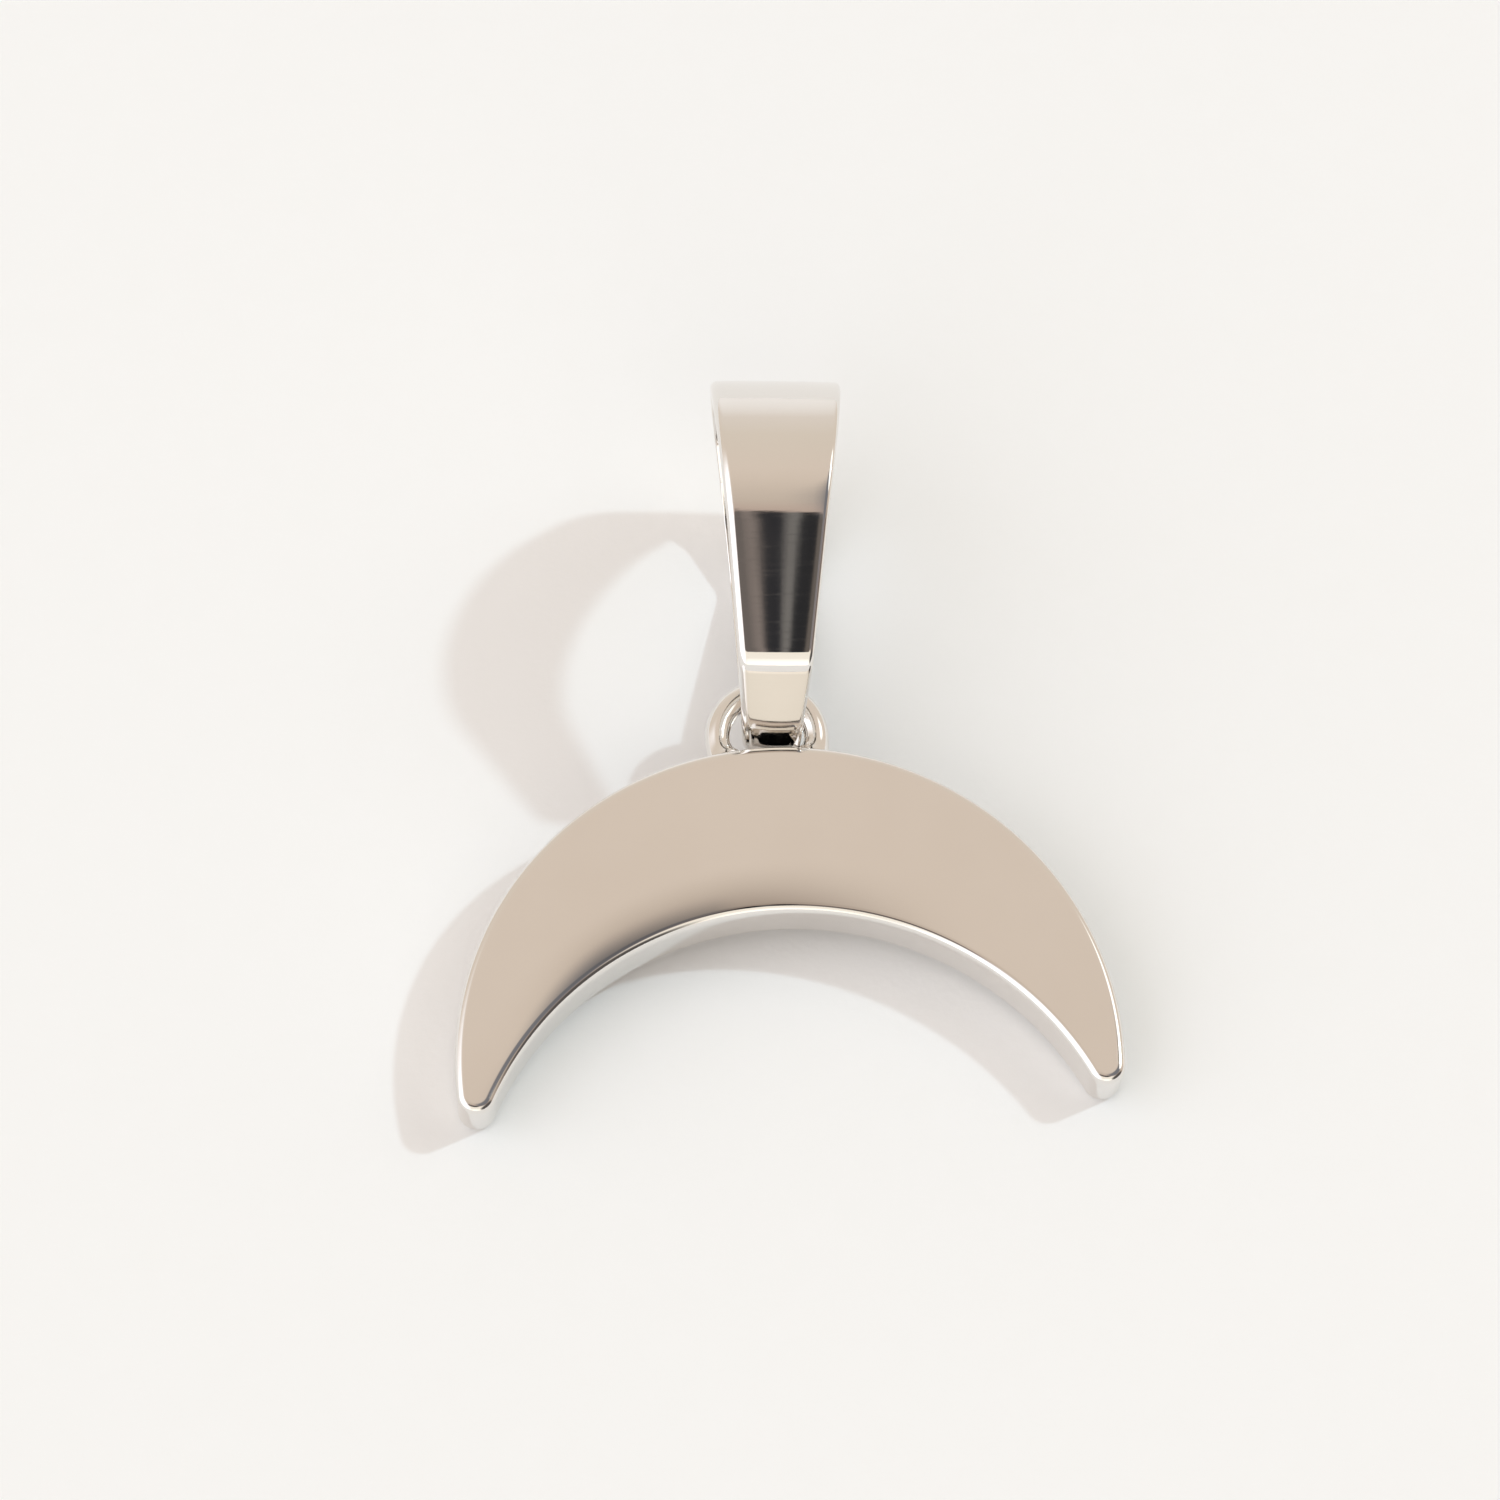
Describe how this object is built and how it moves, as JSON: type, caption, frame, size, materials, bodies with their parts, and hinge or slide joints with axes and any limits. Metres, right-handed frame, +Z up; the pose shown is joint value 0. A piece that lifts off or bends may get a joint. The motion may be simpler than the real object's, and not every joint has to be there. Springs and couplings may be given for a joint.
{
  "type": "crescent moon pendant",
  "caption": "Flat crescent moon pendant in polished metal, with a soldered wire ring and a tapered folded bail that a chain passes through.",
  "frame": {"origin": "bottom centre of the bounding box, on the surface that the pendant lies on", "axes": "+Y from the horn tips to the bail, +Z up from the surface, +X to the right seen from above"},
  "size_m": [0.02, 0.0228, 0.009],
  "materials": {
    "crescent_steel": "polished, with faint rubbing marks",
    "bail_steel": "polished, with fine lines across the strap"
  },
  "bodies": {
    "root": {"crescent": "crescent_steel", "bail": "bail_steel"}
  },
  "joints": []
}
